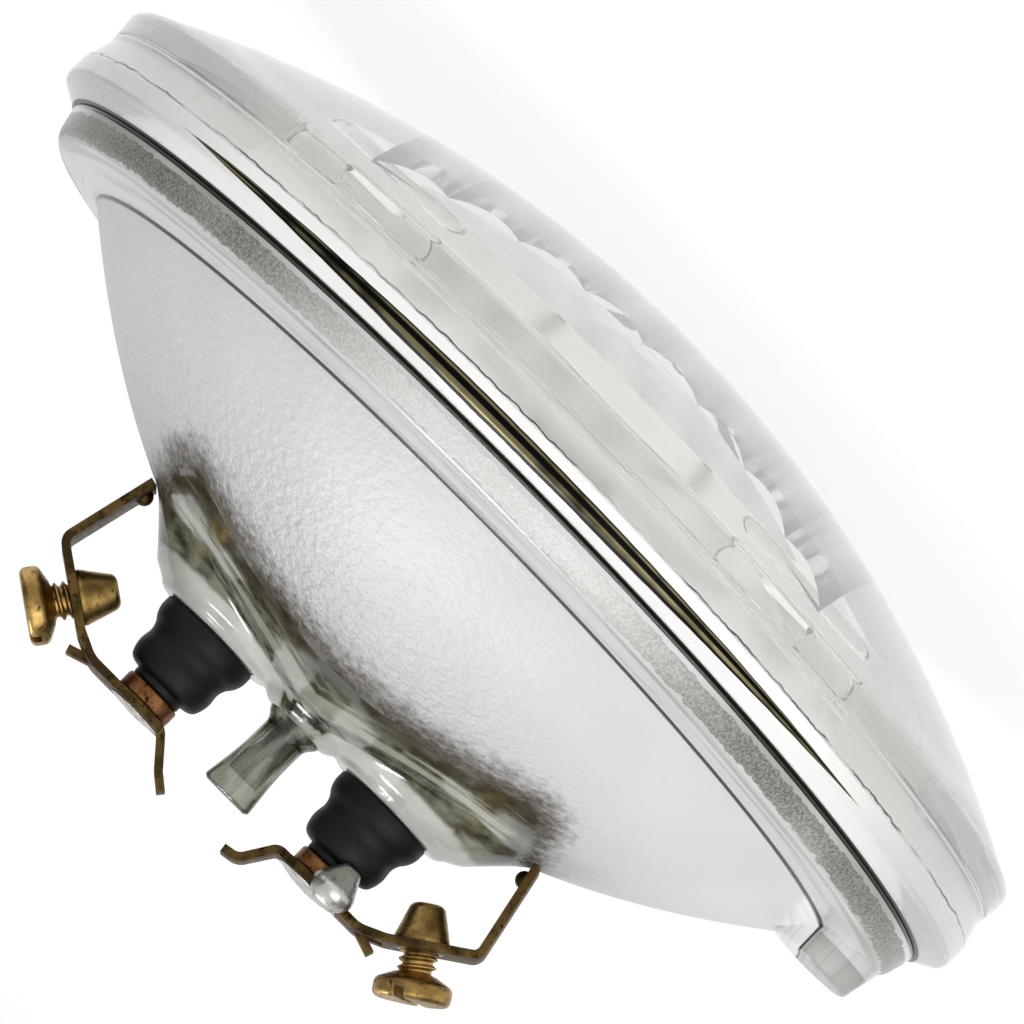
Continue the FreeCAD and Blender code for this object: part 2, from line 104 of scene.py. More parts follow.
def newMaterial(name):
    material = bpy.data.materials.new(name)
    material.use_nodes = True
    tree = material.node_tree
    return material, tree, addNode(tree, "TexCoord").outputs["Object"]


def setShader(tree, values):
    shader = tree.nodes["Principled BSDF"]
    for name, value in values.items():
        feed(tree, shader.inputs[name], value)


# meshes


def chain(bm, corners, last=None):
    # edges through (distance from axis, height, rounding) in the XZ plane
    rounded = []
    for r, z, rounding in corners:
        vert = bm.verts.new((r * mm, 0, z * mm))
        if last:
            bm.edges.new((last, vert))
        if rounding:
            rounded.append((vert, rounding))
        last = vert
    for vert, rounding in rounded:
        bmesh.ops.bevel(bm, geom=[vert], offset=rounding * mm, affect="VERTICES", segments=8,
                        profile=0.5, material=-1, offset_type="OFFSET")
    return last


def spinRound(bm, steps):
    bmesh.ops.spin(bm, geom=bm.verts[:] + bm.edges[:], cent=(0, 0, 0), axis=(0, 0, 1),
                   angle=2 * math.pi, steps=steps, use_merge=True)
    bmesh.ops.remove_doubles(bm, verts=bm.verts[:], dist=0.0005 * mm)
    bmesh.ops.recalc_face_normals(bm, faces=bm.faces[:])


def makePiece(name, bm, materials, sharp=sharpAngle):
    mesh = bpy.data.meshes.new(name)
    bm.to_mesh(mesh)
    bm.free()
    piece = bpy.data.objects.new(name, mesh)
    bpy.context.scene.collection.objects.link(piece)
    for material in materials:
        mesh.materials.append(material)
    shadeSmooth(mesh, sharp)
    return piece


def shadeSmooth(mesh, sharp):
    mesh.polygons.foreach_set("use_smooth", [True] * len(mesh.polygons))
    mesh.set_sharp_from_angle(angle=math.radians(sharp))


def applyModifiers(piece, sharp=sharpAngle):
    graph = bpy.context.evaluated_depsgraph_get()
    mesh = bpy.data.meshes.new_from_object(piece.evaluated_get(graph))
    piece.modifiers.clear()
    piece.data = mesh
    shadeSmooth(mesh, sharp)


def combine(piece, others, operation, sharp=sharpAngle):
    for other in others:
        modifier = piece.modifiers.new("combine", "BOOLEAN")
        modifier.operation = operation
        modifier.solver = "EXACT"
        modifier.object = other
    applyModifiers(piece, sharp)
    for other in others:
        bpy.data.objects.remove(other)


def nodeCopy(name, node, bevel, sharp=sharpAngle, segments=2):
    # the CAD node's own shape, welded, with its real edges broken
    bm = bmesh.new()
    bm.from_mesh(nodes[node].data)
    bmesh.ops.remove_doubles(bm, verts=bm.verts[:], dist=0.001 * mm)
    bmesh.ops.dissolve_limit(bm, angle_limit=math.radians(1), verts=bm.verts[:],
                             edges=bm.edges[:])
    if bevel:
        edges = [e for e in bm.edges
                 if e.is_manifold and e.calc_face_angle() > math.radians(sharp)]
        bmesh.ops.bevel(bm, geom=edges, offset=bevel * mm, affect="EDGES", segments=segments,
                        profile=0.5, material=-1, clamp_overlap=True)
    return makePiece(name, bm, [], sharp)


# camera

photoView = {
    "azimuth": -4.0, "elevation": 5.7, "roll": 134.42,   # degrees
    "distance": 1430,                   # from the middle of the lamp
    "pixelsPerMm": 11.118,              # at that distance, in a 1024 pixel frame
    "centre": (0.0, 0.0, 23.2),         # the lamp's point that the picture is hung on
    "centrePixel": (501.6, 524.2)}


def makeCamera(view):
    a, e, roll = (math.radians(view[k]) for k in ("azimuth", "elevation", "roll"))
    back = Vector((math.sin(a) * math.cos(e), -math.cos(a) * math.cos(e), math.sin(e)))
    level = Vector((math.cos(a), math.sin(a), 0))
    upright = back.cross(level)
    right = level * math.cos(roll) - upright * math.sin(roll)
    up = level * math.sin(roll) + upright * math.cos(roll)
    scale = mm / view["pixelsPerMm"]
    px, py = view["centrePixel"]
    target = Vector(view["centre"]) * mm + right * (512 - px) * scale - up * (512 - py) * scale
    camera = bpy.data.objects.new("camera", bpy.data.cameras.new("camera"))
    bpy.context.scene.collection.objects.link(camera)
    camera.matrix_world = Matrix.LocRotScale(
        target + back * view["distance"] * mm, Matrix((right, up, back)).transposed(), None)
    camera.data.sensor_width = 36
    camera.data.lens = 36 * view["pixelsPerMm"] * view["distance"] / 1024
    camera.data.clip_start = 0.01
    bpy.context.scene.camera = camera


makeCamera(photoView)
print("stage: camera")

# lens

sealMarks = {
    # the black streak with olive veins round the rim's crest is a painted reflection of dark
    # surroundings
    "clear": "#fcfdfa", "darkTone": "#040404", "reflectedVein": "#7c7656", "seam": "#23241b",
    "from": (52.0, 52.6),                         # radii over which the marks set in
    "streak": (22.62, -0.5), "span": 42.0,        # height of its middle, its bow over the span
    "half": (0.8, -0.87, 0.2),                    # half width, taper, and what the noise adds
    "reflectedVeins": ((-0.8, -0.58, 0.08), (0.08, 0.62, 0.1)),     # in shares of the half width
    "seamBand": (24.16, 25.0, 0.06), "thread": (20.5, 20.68, 0.06),
    # the milky band on the land is a painted reflection of light, thinning towards the sides
    "paleReflection": (20.8, 24.1, 0.12), "paleReflectionSide": (30, 52), "paleReflectionShare": (0.65, 0.2),
    "haze": (50, 55, 0.08, 0.16),                 # radii, and the milky share at each
    "matt": (0.3, 0.03, 0.17), "polish": 0.015,   # roughness in the flutes, past them, on the wall
    "mattFace": (111.2, 111.8), "mattRim": (50.5, 51.5),   # from the dome's centre, and the axis
    "flutesTo": (32.4, 33.2), "wallFrom": (13.7, 14.2), "waves": 5}


def pressedGlass():
    # clear soda-lime glass pressed in an iron mould: polished outside, matt from the plunger
    # inside. A black and brown streak round the rim's crest is a painted reflection of dark
    # surroundings, wide at the front and back; a milky band on the land is a painted reflection of
    # light. It also has a dark seam and a slight haze.
    size = sealMarks
    material, tree, place = newMaterial("pressedClearGlass")
    radius, x, y, height = polar(tree, place)
    side = addNode(tree, "Math ABSOLUTE", x)
    across = addNode(tree, "Math DIVIDE", side, size["span"] * mm)
    bow = addNode(tree, "Math MULTIPLY", across, across)
    cloud = addNode(tree, "TexNoise", place, blotch(3.5), 2, 0.6)

    # painted reflection: a dark streak on the rim's crest with olive veins, wide at the front and
    # back and gone at the sides; the same near-black colour also draws the thin line below the
    # land
    middle, sag = size["streak"]
    wide, taper, drift = size["half"]
    line = addNode(tree, "Math MULTIPLY_ADD", bow, sag * mm, middle * mm)
    off = addNode(tree, "Math SUBTRACT", height, line)
    half = addNode(tree, "Math MULTIPLY_ADD", bow, taper * mm, wide * mm)
    half = addNode(tree, "Math ADD", half, addNode(tree, "Math MULTIPLY", cloud, drift * mm))
    inside = addNode(tree, "Math SUBTRACT", half, addNode(tree, "Math ABSOLUTE", off))
    streak = addNode(tree, "MapRange SMOOTHSTEP", inside, -0.02 * mm, 0.05 * mm)

    level = addNode(tree, "Math DIVIDE", off, addNode(tree, "Math MAXIMUM", half, 0.05 * mm))
    level = addNode(tree, "Math MULTIPLY", level, mm)
    low, high = (between(tree, level, *reflectedVein) for reflectedVein in size["reflectedVeins"])
    broken = addNode(tree, "MapRange SMOOTHSTEP", cloud, 0.3, 0.6)
    reflectedVeins = addNode(tree, "Math MULTIPLY", addNode(tree, "Math MAXIMUM", low, high), broken)

    seam = between(tree, height, *size["seamBand"])
    jagged = roughened(tree, height, place, 0.8, 0.5, 1)
    faint = addNode(tree, "MapRange SMOOTHSTEP", cloud, 0.35, 0.6, 0.35, 1.0)
    thread = addNode(tree, "Math MULTIPLY", between(tree, jagged, *size["thread"]), faint)
    start, end = size["from"]
    outside = addNode(tree, "MapRange SMOOTHSTEP", radius, start * mm, end * mm)
    # the painted dark reflection and the seam together, made nearly opaque and metallic below
    dark = addNode(tree, "Math MULTIPLY", addNode(tree, "Math MAXIMUM", streak, seam), outside)
    thread = addNode(tree, "Math MULTIPLY", thread, outside)
    marked = addNode(tree, "Math MAXIMUM", dark, thread)
    darkTone = addNode(tree, "Mix RGBA", reflectedVeins, linear(size["darkTone"]), linear(size["reflectedVein"]))
    darkTone = addNode(tree, "Mix RGBA", seam, darkTone, linear(size["seam"]))

    # painted reflection: the land turns milky white, most at the front and back, less towards the
    # sides
    paleReflection = addNode(tree, "Math MULTIPLY", between(tree, height, *size["paleReflection"]), outside)
    near, far = size["paleReflectionSide"]
    fading = addNode(tree, "MapRange SMOOTHSTEP", side, near * mm, far * mm, *size["paleReflectionShare"])
    paleReflection = addNode(tree, "Math MULTIPLY", paleReflection, fading)
    start, end, least, most = size["haze"]
    haze = addNode(tree, "MapRange SMOOTHSTEP", radius, start * mm, end * mm, least, most)
    # from here haze carries the painted pale band as well as the rim's own haze
    haze = addNode(tree, "Math ADD", paleReflection, haze)
    clear = addNode(tree, "Math MULTIPLY", addNode(tree, "Math SUBTRACT", 1.0, marked),
                    addNode(tree, "Math SUBTRACT", 1.0, haze))

    # the plunger's side: matt in the flutes and on the wall, nearly clear past the flutes' ends
    inFlutes, pastThem, onWall = size["matt"]
    centre = addNode(tree, "VectorMath DISTANCE", place, (0, 0, lensSize["domeRadius"] * mm))
    start, end = size["mattFace"]
    pressed = addNode(tree, "MapRange SMOOTHSTEP", centre, start * mm, end * mm, 1.0, 0.0)
    start, end = size["mattRim"]
    pressed = addNode(tree, "Math MULTIPLY", pressed, addNode(
        tree, "MapRange SMOOTHSTEP", radius, start * mm, end * mm, 1.0, 0.0))
    start, end = size["flutesTo"]
    fluted = addNode(tree, "MapRange SMOOTHSTEP", addNode(tree, "Math ABSOLUTE", y), start * mm,
                     end * mm, inFlutes, pastThem)
    start, end = size["wallFrom"]
    wall = addNode(tree, "MapRange SMOOTHSTEP", height, start * mm, end * mm, 0.0, onWall)
    matt = addNode(tree, "Math MULTIPLY_ADD", pressed,
                   addNode(tree, "Math MAXIMUM", fluted, wall), size["polish"])
    waves = addNode(tree, "TexNoise", place, blotch(size["waves"]), 0)
    setShader(tree, {
        "Base Color": addNode(tree, "Mix RGBA", marked, linear(size["clear"]), darkTone),
        "Transmission Weight": clear, "IOR": glassIor,
        "Metallic": addNode(tree, "Math MULTIPLY", dark, 0.9),
        "Roughness": addNode(tree, "Math MULTIPLY_ADD", marked, 0.3, matt),
        "Normal": addNode(tree, "Bump", 0.2, 0.0002, None, waves)})
    return material


lensSize = {                    # corners are distance from the axis, height and rounding
    "domeRadius": 113.0, "wall": 3.6, "domeEdge": 50.4, "shoulder": (55.95, 14.76, 0.6),
    "hairline": ((55.72, 17.25, 0.06), (55.56, 17.5, 0.1), (55.68, 17.75, 0.06)),
    "groove": (55.6, 18.2, 0.3), "landStart": (56.35, 20.8, 0.25), "landEnd": (56.35, 22.9, 0.5),
    "seam": (53.7, 24.39), "seamInner": 47.43, "seamRound": (0.15, 0.3), "innerEdge": 45.83,
    "domeSteps": (56, 50), "steps": 256}
fluteSize = {
    "count": 8, "pitch": 6.8, "depth": 0.95, "halfLength": 35.3,
    "endSlope": 22.0,           # degrees at which a flute runs out at its ends
    "cover": 1.0,               # how far the cutter stands clear of the face
    "arcSteps": 14, "coverSteps": 24, "sweepSteps": 44, "drumSteps": 240}
padSize = {
    "length": 18.0, "width": 2.9, "height": 0.6, "rise": 1.9,
    "root": 1.0,                # how far a pad is rooted in the wall
    "edgeRound": 0.45, "endSteps": 40, "sideCuts": 15, "angles": (33, 90, 147, 213, 270, 327)}


def makeLens(glass):
    size = lensSize
    bm = bmesh.new()
    dome = size["domeRadius"]
    start = bm.verts.new((0, 0, 0))
    sweep = math.asin(size["domeEdge"] / dome)
    arc = bmesh.ops.spin(bm, geom=[start], cent=(0, 0, dome * mm), axis=(0, 1, 0),
                         angle=-sweep, steps=size["domeSteps"][0])
    edge = arc["geom_last"][0]
    inner = dome - size["wall"]
    innerSweep = math.asin(size["innerEdge"] / inner)
    innerHeight = dome - inner * math.cos(innerSweep)
    outer, inside = size["seamRound"]
    end = chain(bm, [size["shoulder"], *size["hairline"], size["groove"], size["landStart"],
                     size["landEnd"], (*size["seam"], outer),
                     (size["seamInner"], size["seam"][1], inside),
                     (size["innerEdge"], innerHeight, 0)], edge)
    bmesh.ops.spin(bm, geom=[end], cent=(0, 0, dome * mm), axis=(0, 1, 0), angle=innerSweep,
                   steps=size["domeSteps"][1])
    spinRound(bm, size["steps"])
    lens = makePiece("lensGlass", bm, [glass])

    combine(lens, [makePad(innerHeight, a) for a in padSize["angles"]], "UNION")
    combine(lens, [makeFlutes(inner)], "DIFFERENCE", 20)
    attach(lens, "lamp")
    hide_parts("lens")


def makeFlutes(inner):
    # cutter for rows of hollow flutes, swept along the dome; a drum ends them at a slope
    size = fluteSize
    dome = lensSize["domeRadius"]
    bm = bmesh.new()
    half = size["count"] * size["pitch"] / 2
    turn = math.asin(half / inner)
    perFlute = size["arcSteps"]
    steps = size["count"] * perFlute
    ring = []
    for i in range(steps + 1):
        across = (i % perFlute) / perFlute * 2 - 1
        ring.append((inner + size["depth"] * (1 - across ** 2), turn * (2 * i / steps - 1)))
    for i in range(size["coverSteps"] + 1):
        ring.append((inner - size["cover"], turn * (1 - 2 * i / size["coverSteps"])))
    verts = [bm.verts.new((rho * mm * math.sin(t), 0, (dome - rho * math.cos(t)) * mm))
             for rho, t in ring]
    bm.faces.new(verts)
    slope = math.asin(size["halfLength"] / inner)
    sweep = 1.2 * slope
    pivot = (0, 0, dome * mm)
    bmesh.ops.rotate(bm, verts=bm.verts[:], cent=pivot, matrix=Matrix.Rotation(-sweep, 3, "X"))
    bmesh.ops.spin(bm, geom=bm.verts[:] + bm.edges[:] + bm.faces[:], cent=pivot, axis=(1, 0, 0),
                   angle=2 * sweep, steps=size["sweepSteps"])
    bmesh.ops.recalc_face_normals(bm, faces=bm.faces[:])
    cutter = makePiece("flutes", bm, [])
    steep = slope + math.radians(size["endSlope"])
    reach = size["halfLength"] / math.sin(steep)
    drum = bmesh.new()
    bmesh.ops.create_cone(drum, cap_ends=True, segments=size["drumSteps"],
                          radius1=reach * mm, radius2=reach * mm, depth=4 * half * mm)
    bmesh.ops.rotate(drum, verts=drum.verts[:], matrix=Matrix.Rotation(math.pi / 2, 3, "Y"))
    lift = dome - inner * math.cos(slope) + reach * math.cos(steep)
    bmesh.ops.translate(drum, verts=drum.verts[:], vec=(0, 0, lift * mm))
    combine(cutter, [makePiece("drum", drum, [])], "INTERSECT")
    return cutter


def makePad(floor, angle):
    # a long round-ended pad on the lens's inner wall, just above its inner face
    size = padSize
    wall = lensSize["innerEdge"]
    bm = bmesh.new()
    bmesh.ops.create_circle(bm, cap_ends=True, radius=size["width"] / 2,
                            segments=size["endSteps"])
    straight = (size["length"] - size["width"]) / 2
    for vert in bm.verts:
        vert.co.x += math.copysign(straight, vert.co.x)
    sides = [e for e in bm.edges if e.calc_length() > size["width"]]
    bmesh.ops.subdivide_edges(bm, edges=sides, cuts=size["sideCuts"])
    top = bmesh.ops.extrude_face_region(bm, geom=bm.faces[:])["geom"]
    topVerts = [v for v in top if isinstance(v, bmesh.types.BMVert)]
    bmesh.ops.translate(bm, verts=topVerts, vec=(0, 0, size["root"] + size["height"]))
    topEdges = [e for e in bm.edges if all(v in topVerts for v in e.verts) and not
                all(f.normal.z > 0.9 for f in e.link_faces)]
    bmesh.ops.bevel(bm, geom=topEdges, offset=size["edgeRound"], affect="EDGES", segments=5,
                    profile=0.5, material=-1)
    bmesh.ops.triangulate(bm, faces=bm.faces[:])
    for vert in bm.verts:
        rho = wall + size["root"] - vert.co.z
        side = vert.co.x / wall
        vert.co = Vector((math.sin(side) * rho, -math.cos(side) * rho,
                          floor + size["rise"] + vert.co.y)) * mm
    bmesh.ops.rotate(bm, verts=bm.verts[:], matrix=Matrix.Rotation(math.radians(angle), 3, "Z"))
    bmesh.ops.recalc_face_normals(bm, faces=bm.faces[:])
    return makePiece("pad", bm, [])


makeLens(pressedGlass())
print("stage: lens")

# bowl

bowlSize = {                    # corners are distance from the axis, height and rounding
    "seam": (53.7, 24.41), "seamInner": 47.43, "flange": (52.9, 27.6, 1.1),
    "edge": (46.6, 28.5, 0.45), "height": 48.05, "curve": 0.009003, "wall": 3.4, "steps": 256,
    "terminal": 11.1, "bossHeight": 48.85, "bossFace": 5.9, "bossCrown": (8.3, 1.3),
    "bossBase": (12.6, 5.8), "moundHeight": 49.3, "moundRadius": 3.1, "moundBase": 6.4,
    "blend": 0.8, "moundBlend": 0.4}
studSize = {"offset": 47.5, "radius": 4.35, "height": 31.57, "baseRadius": 5.7, "base": 24.9,
            "edgeRound": 0.4, "steps": 64}
filmMarks = {
    "window": (25.5, 20.0, 6.0),        # half width, half depth and corner of the film's opening
    "stretch": 1.6,                     # how much faster its ends round off along the clips
    "edge": (-2.5, 1.5), "stain": (-1.5, 7.5), "darkTone": (-5, -2),      # from that corner outwards
    "bare": (8.8, 9.5),                 # clear glass ends this far from a ferrule's axis
    "mound": (4.5, 7, 0.6),             # and this far from the tube's, with its share there
    "streaks": (1.5, 0.12),             # width of the streaks, and how far they are drawn out
    "bowlTo": (46.1, 46.25), "greyed": (20, 42, 0.6), "worked": (16, 44, 0.2),
    "silver": ("#d3d1d2", "#e2e0e1"), "grey": "#adabaa", "brown": "#453d30",
    "smoked": ("#423f2d", "#7c7d69"), "pale": "#c6cabb", "dark": "#1d1c12", "sooty": "#30281a",
    "heel": ("#f6faf0", "#8b8d7d"),
    "skin": 0.55, "skinDepth": 0.0005}  # hammered dimples: width, and depth in metres
flangeMarks = {
    "from": (51.6, 52.2), "band": (25.3, 27.4, 0.08), "seamTop": (24.6, 24.7),
    # the face behind the flange (back) is covered with a painted white reflection
    "backReflectionFrom": (46.4, 46.6), "back": (24.8, 29.1, 0.05), "backReflectionShare": 0.8,
    "studFrom": (-44, -43), "studTop": (28.7, 29.0), "studShare": 0.62,
    "borderFrom": (27.5, 27.8), "border": (46.25, 46.45, 0.05),
    # the end greys are painted shade on the grainy band towards its ends; the near-white lines
    # colour the painted reflection behind the flange
    "middle": ("#d4d5d1", "#e6e7e4"), "ends": ("#666961", "#989b93"), "endsFrom": (6, 34),
    "lines": ("#fcfcfa", "#cdcec9"), "seam": "#2c2d22", "borderLine": "#2b2630"}


def windowGlass(tree, side, y, radius, far, patches):
    # olive glass where the film is open, in streaks round each ferrule: colour, and how bare
    size = filmMarks
    corner = size["window"][2]
    toAxis = addNode(tree, "Math SUBTRACT", side, bowlSize["terminal"] * mm)
    ring = addNode(tree, "VectorMath LENGTH", addNode(tree, "CombineXYZ", toAxis, y))
    width, draw = size["streaks"]
    drawn = addNode(tree, "CombineXYZ", ring, addNode(tree, "Math MULTIPLY", side, draw),
                    addNode(tree, "Math MULTIPLY", y, draw))
    streaks = addNode(tree, "TexNoise", drawn, blotch(width), 2, 0.6)
    heel = addNode(tree, "Math MULTIPLY_ADD", patches, 1.0 * mm, -0.5 * mm)
    heel = addNode(tree, "Math ADD", ring, heel)
    start, end = size["bare"]
    bare = addNode(tree, "MapRange SMOOTHSTEP", heel, start * mm, end * mm, 1.0, 0.0)
    start, end, share = size["mound"]
    mound = addNode(tree, "MapRange SMOOTHSTEP", radius, start * mm, end * mm, share, 0.0)
    mound = addNode(tree, "Math MULTIPLY", mound,
                    addNode(tree, "MapRange SMOOTHSTEP", patches, 0.4, 0.55))
    bare = addNode(tree, "Math MAXIMUM", bare, mound)

    clouds = addNode(tree, "MapRange SMOOTHSTEP", patches, 0.35, 0.65)
    smoked = addNode(tree, "Mix RGBA", clouds, *(linear(code) for code in size["smoked"]))
    pale = addNode(tree, "MapRange SMOOTHSTEP", streaks, 0.54, 0.64, 0.0, 0.6)
    dark = addNode(tree, "MapRange SMOOTHSTEP", streaks, 0.48, 0.38, 0.0, 0.9)
    start, end = size["darkTone"]
    sooty = addNode(tree, "MapRange SMOOTHSTEP", far, (corner + start) * mm, (corner + end) * mm,
                    0.0, 0.75)
    for share, shade in ((pale, "pale"), (dark, "dark"), (sooty, "sooty")):
        smoked = addNode(tree, "Mix RGBA", share, smoked, linear(size[shade]))
    lines = addNode(tree, "MapRange SMOOTHSTEP", streaks, 0.42, 0.3)
    heelGlass = addNode(tree, "Mix RGBA", lines, *(linear(code) for code in size["heel"]))
    return addNode(tree, "Mix RGBA", bare, smoked, heelGlass), bare


def flangeCoat(tree, place, radius, x, side, aside, height, drift):
    # film behind the flange: grainy grey round its side, with painted shade darkening it towards
    # its ends, a painted white reflection on the face behind it and a pale cover on the stud's
    # top, a dark seam and a thin purple line where the bowl begins; colour, and how much it covers
    size = flangeMarks
    start, end = size["from"]
    outside = addNode(tree, "MapRange SMOOTHSTEP", radius, start * mm, end * mm)
    ragged = roughened(tree, height, place, 0.6, 0.7, 1)
    band = addNode(tree, "Math MULTIPLY", between(tree, ragged, *size["band"]), outside)
    grains = addNode(tree, "TexNoise", place, blotch(0.15), 1, 0.6)
    grains = addNode(tree, "MapRange SMOOTHSTEP", grains, 0.3, 0.7)
    # painted shade: the grainy band turns darker grey towards the rim's ends at the sides
    start, end = size["endsFrom"]
    ends = addNode(tree, "MapRange SMOOTHSTEP", side, start * mm, end * mm)
    ends = addNode(tree, "Math MULTIPLY", ends,
                   addNode(tree, "MapRange SMOOTHSTEP", drift, 0.2, 0.55, 0.7, 1.0))
    middleGrey, endShadeGrey = (addNode(tree, "Mix RGBA", grains, linear(dark), linear(pale))
                           for dark, pale in (size["middle"], size["ends"]))
    speckled = addNode(tree, "Mix RGBA", ends, middleGrey, endShadeGrey)

    # painted reflection: the flange's face behind the grainy band is covered near white
    start, end = size["backReflectionFrom"]
    back = addNode(tree, "MapRange SMOOTHSTEP", radius, start * mm, end * mm)
    back = addNode(tree, "Math MULTIPLY", back, between(tree, height, *size["back"]))
    start, end = size["studFrom"]
    stud = addNode(tree, "MapRange SMOOTHSTEP", x, start * mm, end * mm, 1.0, 0.0)
    start, end = size["studTop"]
    stud = addNode(tree, "Math MULTIPLY", stud,
                   addNode(tree, "MapRange SMOOTHSTEP", height, start * mm, end * mm))
    start, end = size["seamTop"]
    seam = addNode(tree, "MapRange SMOOTHSTEP", height, start * mm, end * mm, 1.0, 0.0)
    seam = addNode(tree, "Math MULTIPLY", seam, outside)
    start, end = size["borderFrom"]
    border = addNode(tree, "MapRange SMOOTHSTEP", height, start * mm, end * mm)
    border = addNode(tree, "Math MULTIPLY", between(tree, radius, *size["border"]), border)
    covered = band
    for part, share in ((back, size["backReflectionShare"]), (stud, size["studShare"]), (seam, 1.0),
                        (border, 1.0)):
        part = addNode(tree, "Math MULTIPLY", part, share)
        covered = addNode(tree, "Math MAXIMUM", covered, part)

    # near white with grey rings: the painted reflection behind the flange; it also colours the
    # stud's top
    rings = addNode(tree, "CombineXYZ", radius, addNode(tree, "Math MULTIPLY", side, 0.04),
                    addNode(tree, "Math MULTIPLY", aside, 0.04))
    lines = addNode(tree, "TexNoise", rings, blotch(0.7), 1, 0.6)
    lines = addNode(tree, "MapRange SMOOTHSTEP", lines, 0.5, 0.7)
    coat = addNode(tree, "Mix RGBA", lines, *(linear(code) for code in size["lines"]))
    coat = addNode(tree, "Mix RGBA", band, coat, speckled)
    coat = addNode(tree, "Mix RGBA", seam, coat, linear(size["seam"]))
    return addNode(tree, "Mix RGBA", border, coat, linear(size["borderLine"])), covered


def silveredGlass():
    # aluminised pressed glass seen from outside: satin lilac-grey under a glossy hammered skin,
    # browned and mottled where the film thins out, and clear where it is open
    material, tree, place = newMaterial("silveredPressedGlass")
    size = filmMarks
    wide, deep, corner = size["window"]
    radius, x, y, height = polar(tree, place)
    side = addNode(tree, "Math ABSOLUTE", x)
    aside = addNode(tree, "Math ABSOLUTE", y)
    patches = addNode(tree, "TexNoise", place, blotch(1.3), 2, 0.6)
    drift = addNode(tree, "TexNoise", place, blotch(7), 1, 0.6)

    stretch = size["stretch"]
    overX = addNode(tree, "Math MULTIPLY_ADD", side, stretch, -stretch * (wide - corner) * mm)
    overY = addNode(tree, "Math SUBTRACT", aside, (deep - corner) * mm)
    beyond = addNode(tree, "VectorMath LENGTH", addNode(
        tree, "CombineXYZ", addNode(tree, "Math MAXIMUM", overX, 0.0),
        addNode(tree, "Math MAXIMUM", overY, 0.0)))
    far = addNode(tree, "Math MULTIPLY_ADD", patches, 3.6 * mm, -1.8 * mm)
    far = addNode(tree, "Math ADD", beyond, far)
    start, end = size["bowlTo"]
    bowl = addNode(tree, "MapRange SMOOTHSTEP", radius, start * mm, end * mm, 1.0, 0.0)
    start, end = size["edge"]
    film = addNode(tree, "MapRange SMOOTHSTEP", far, (corner + start) * mm, (corner + end) * mm)
    silver = addNode(tree, "Math MULTIPLY", film, bowl)
    glass = addNode(tree, "Math SUBTRACT", bowl, silver)

    start, end = size["stain"]
    thin = addNode(tree, "MapRange SMOOTHSTEP", far, (corner + start) * mm, (corner + end) * mm,
                   1.0, 0.0)
    mottled = addNode(tree, "TexNoise", place, blotch(0.5), 2, 0.6)
    mottled = addNode(tree, "Math MULTIPLY_ADD", mottled, 0.9, -0.45)
    stain = addNode(tree, "MapRange SMOOTHSTEP", addNode(tree, "Math ADD", thin, mottled),
                    0.1, 1.1)
    start, end, share = size["greyed"]
    greyed = addNode(tree, "MapRange SMOOTHSTEP", radius, start * mm, end * mm, share, 0.0)
    tone = addNode(tree, "Mix RGBA", drift, *(linear(code) for code in size["silver"]))
    tone = addNode(tree, "Mix RGBA", greyed, tone, linear(size["grey"]))
    tone = addNode(tree, "Mix RGBA", stain, tone, linear(size["brown"]))

    # hammered skin, strongest near the terminals
    start, end, least = size["worked"]
    near = addNode(tree, "MapRange SMOOTHSTEP", radius, start * mm, end * mm, 1.0, least)
    worked = addNode(tree, "MapRange SMOOTHSTEP", beyond, (corner - 1.5) * mm, (corner + 1) * mm)
    worked = addNode(tree, "Math MULTIPLY", bowl, worked)
    dimples = addNode(tree, "TexNoise", place, blotch(size["skin"]), 2, 0.6)
    dimples = addNode(tree, "Math MULTIPLY", dimples, near)
    dimples = addNode(tree, "Math MULTIPLY", dimples, worked)

    windowTone, bare = windowGlass(tree, side, y, radius, far, patches)
    coat, covered = flangeCoat(tree, place, radius, x, side, aside, height, drift)
    clear = addNode(tree, "Math MULTIPLY", glass,
                    addNode(tree, "Math MULTIPLY_ADD", bare, 0.4, 0.05))
    clear = addNode(tree, "Math MAXIMUM", clear, addNode(tree, "Math SUBTRACT", 1.0, bowl))
    clear = addNode(tree, "Math MULTIPLY", clear, addNode(tree, "Math SUBTRACT", 1.0, covered))
    rough = 0.02
    for part, share in ((silver, 0.2), (worked, 0.25), (covered, 0.25), (glass, 0.1)):
        rough = addNode(tree, "Math MULTIPLY_ADD", part, share, rough)
    colour = addNode(tree, "Mix RGBA", silver, windowTone, tone)
    setShader(tree, {
        "Base Color": addNode(tree, "Mix RGBA", covered, colour, coat),
        "Metallic": addNode(tree, "Math MULTIPLY", silver, 0.1), "Roughness": rough,
        "Normal": addNode(tree, "Bump", 1.0, size["skinDepth"], None, dimples),
        "Transmission Weight": clear, "IOR": glassIor})
    return material


def aluminiumFilm():
    # vacuum-deposited aluminium on pressed glass: a slightly soft mirror
    material, tree, place = newMaterial("vacuumAluminium")
    waves = addNode(tree, "TexNoise", place, blotch(3), 1)
    setShader(tree, {
        "Base Color": linear("#fafafa"), "Metallic": 1.0,
        "Roughness": addNode(tree, "MapRange LINEAR", waves, 0.0, 1.0, 0.22, 0.34)})
    return material


def smoothMax(a, b, blend):
    # the higher of two heights, with a soft hollow where they cross
    near = max(blend - abs(a - b), 0) / blend
    return max(a, b) + near * near * blend / 4


def softStep(x, start, end):
    t = min(max((x - start) / (end - start), 0), 1)
    return t * t * (3 - 2 * t)


